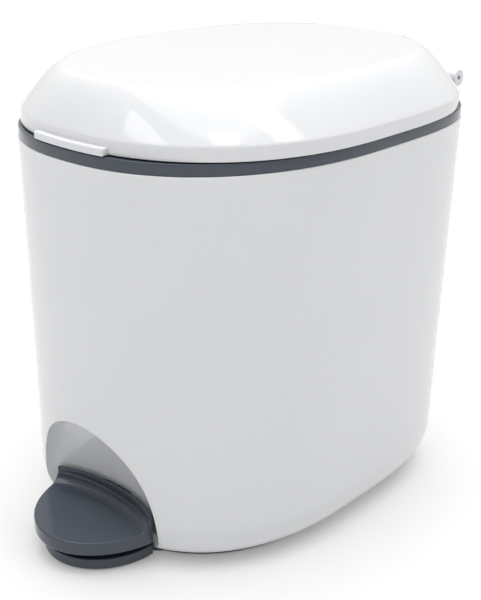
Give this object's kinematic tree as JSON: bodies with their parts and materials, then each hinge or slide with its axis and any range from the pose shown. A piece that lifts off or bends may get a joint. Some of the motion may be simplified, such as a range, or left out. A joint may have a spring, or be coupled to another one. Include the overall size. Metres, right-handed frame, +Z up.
{
  "type": "pedal trash can",
  "caption": "Free-standing pedal bin of egg-shaped plan with a lift-out bucket, a domed rear-hinged lid, and a foot pedal that raises the lid through a lever and push rod.",
  "frame": {"origin": "on the floor, under the middle of the whole footprint, pedal and hinge housing included", "axes": "+Z up, -Y towards the pedal at the front, +X to the right as seen from the front, looking towards +Y; the long side of the plan lies along Y"},
  "size_m": [0.2742, 0.372, 0.35],
  "materials": {
    "white_shell": "glossy injection-moulded white polypropylene",
    "slate_plastic": "glossy moulded slate-grey plastic",
    "bucket_plastic": "fine-textured moulded dark grey plastic",
    "bracket_plastic": "satin mid-grey moulded plastic",
    "zinc_steel": "drawn, zinc-plated steel",
    "screw_steel": "zinc-plated steel, lightly dulled",
    "foot_rubber": "matte black rubber"
  },
  "bodies": {
    "bin_frame": {"outer_body": "white_shell", "base_plate": "slate_plastic", "collar_ring": "slate_plastic", "inner_bucket": "bucket_plastic", "bucket_handle": "zinc_steel", "handle_grip": "bracket_plastic", "hinge_housing": "white_shell", "hinge_pin": "zinc_steel", "housing_screw_1": "screw_steel", "housing_screw_2": "screw_steel", "pedal_axle": "zinc_steel", "axle_clip_1": "screw_steel", "axle_clip_2": "screw_steel", "base_screw_1": "screw_steel", "base_screw_2": "screw_steel", "base_screw_3": "screw_steel", "base_screw_4": "screw_steel", "foot_1": "foot_rubber", "foot_2": "foot_rubber", "foot_3": "foot_rubber", "foot_4": "foot_rubber"},
    "lid_group": {"lid": "white_shell", "lid_hinge_bracket": "bracket_plastic", "bracket_screw_1": "screw_steel", "bracket_screw_2": "screw_steel"},
    "pedal_group": {"pedal": "slate_plastic", "pedal_lever": "zinc_steel", "pedal_screw_1": "screw_steel", "pedal_screw_2": "screw_steel"},
    "rod_group": {"push_rod": "zinc_steel", "rod_clip_1": "screw_steel", "rod_clip_2": "screw_steel"}
  },
  "joints": [
    {"name": "lid_hinge", "type": "hinge", "parent": "bin_frame", "child": "lid_group", "pos_m": [0, 0.1795, 0.32], "axis": [-1, 0, 0], "range_deg": [0, 72]},
    {"name": "pedal_pivot", "type": "hinge", "parent": "bin_frame", "child": "pedal_group", "pos_m": [0, -0.069, 0.032], "axis": [1, 0, 0], "range_deg": [0, 6.7]},
    {"name": "rod_pivot", "type": "hinge", "parent": "pedal_group", "child": "rod_group", "pos_m": [0, 0.16205, 0.037], "axis": [1, 0, 0], "range_deg": [-6.7, 0]}
  ],
  "couplings": [
    {"joint": "pedal_pivot", "follows": "lid_hinge", "ratio": 0.0922},
    {"joint": "rod_pivot", "follows": "lid_hinge", "ratio": -0.0922}
  ]
}
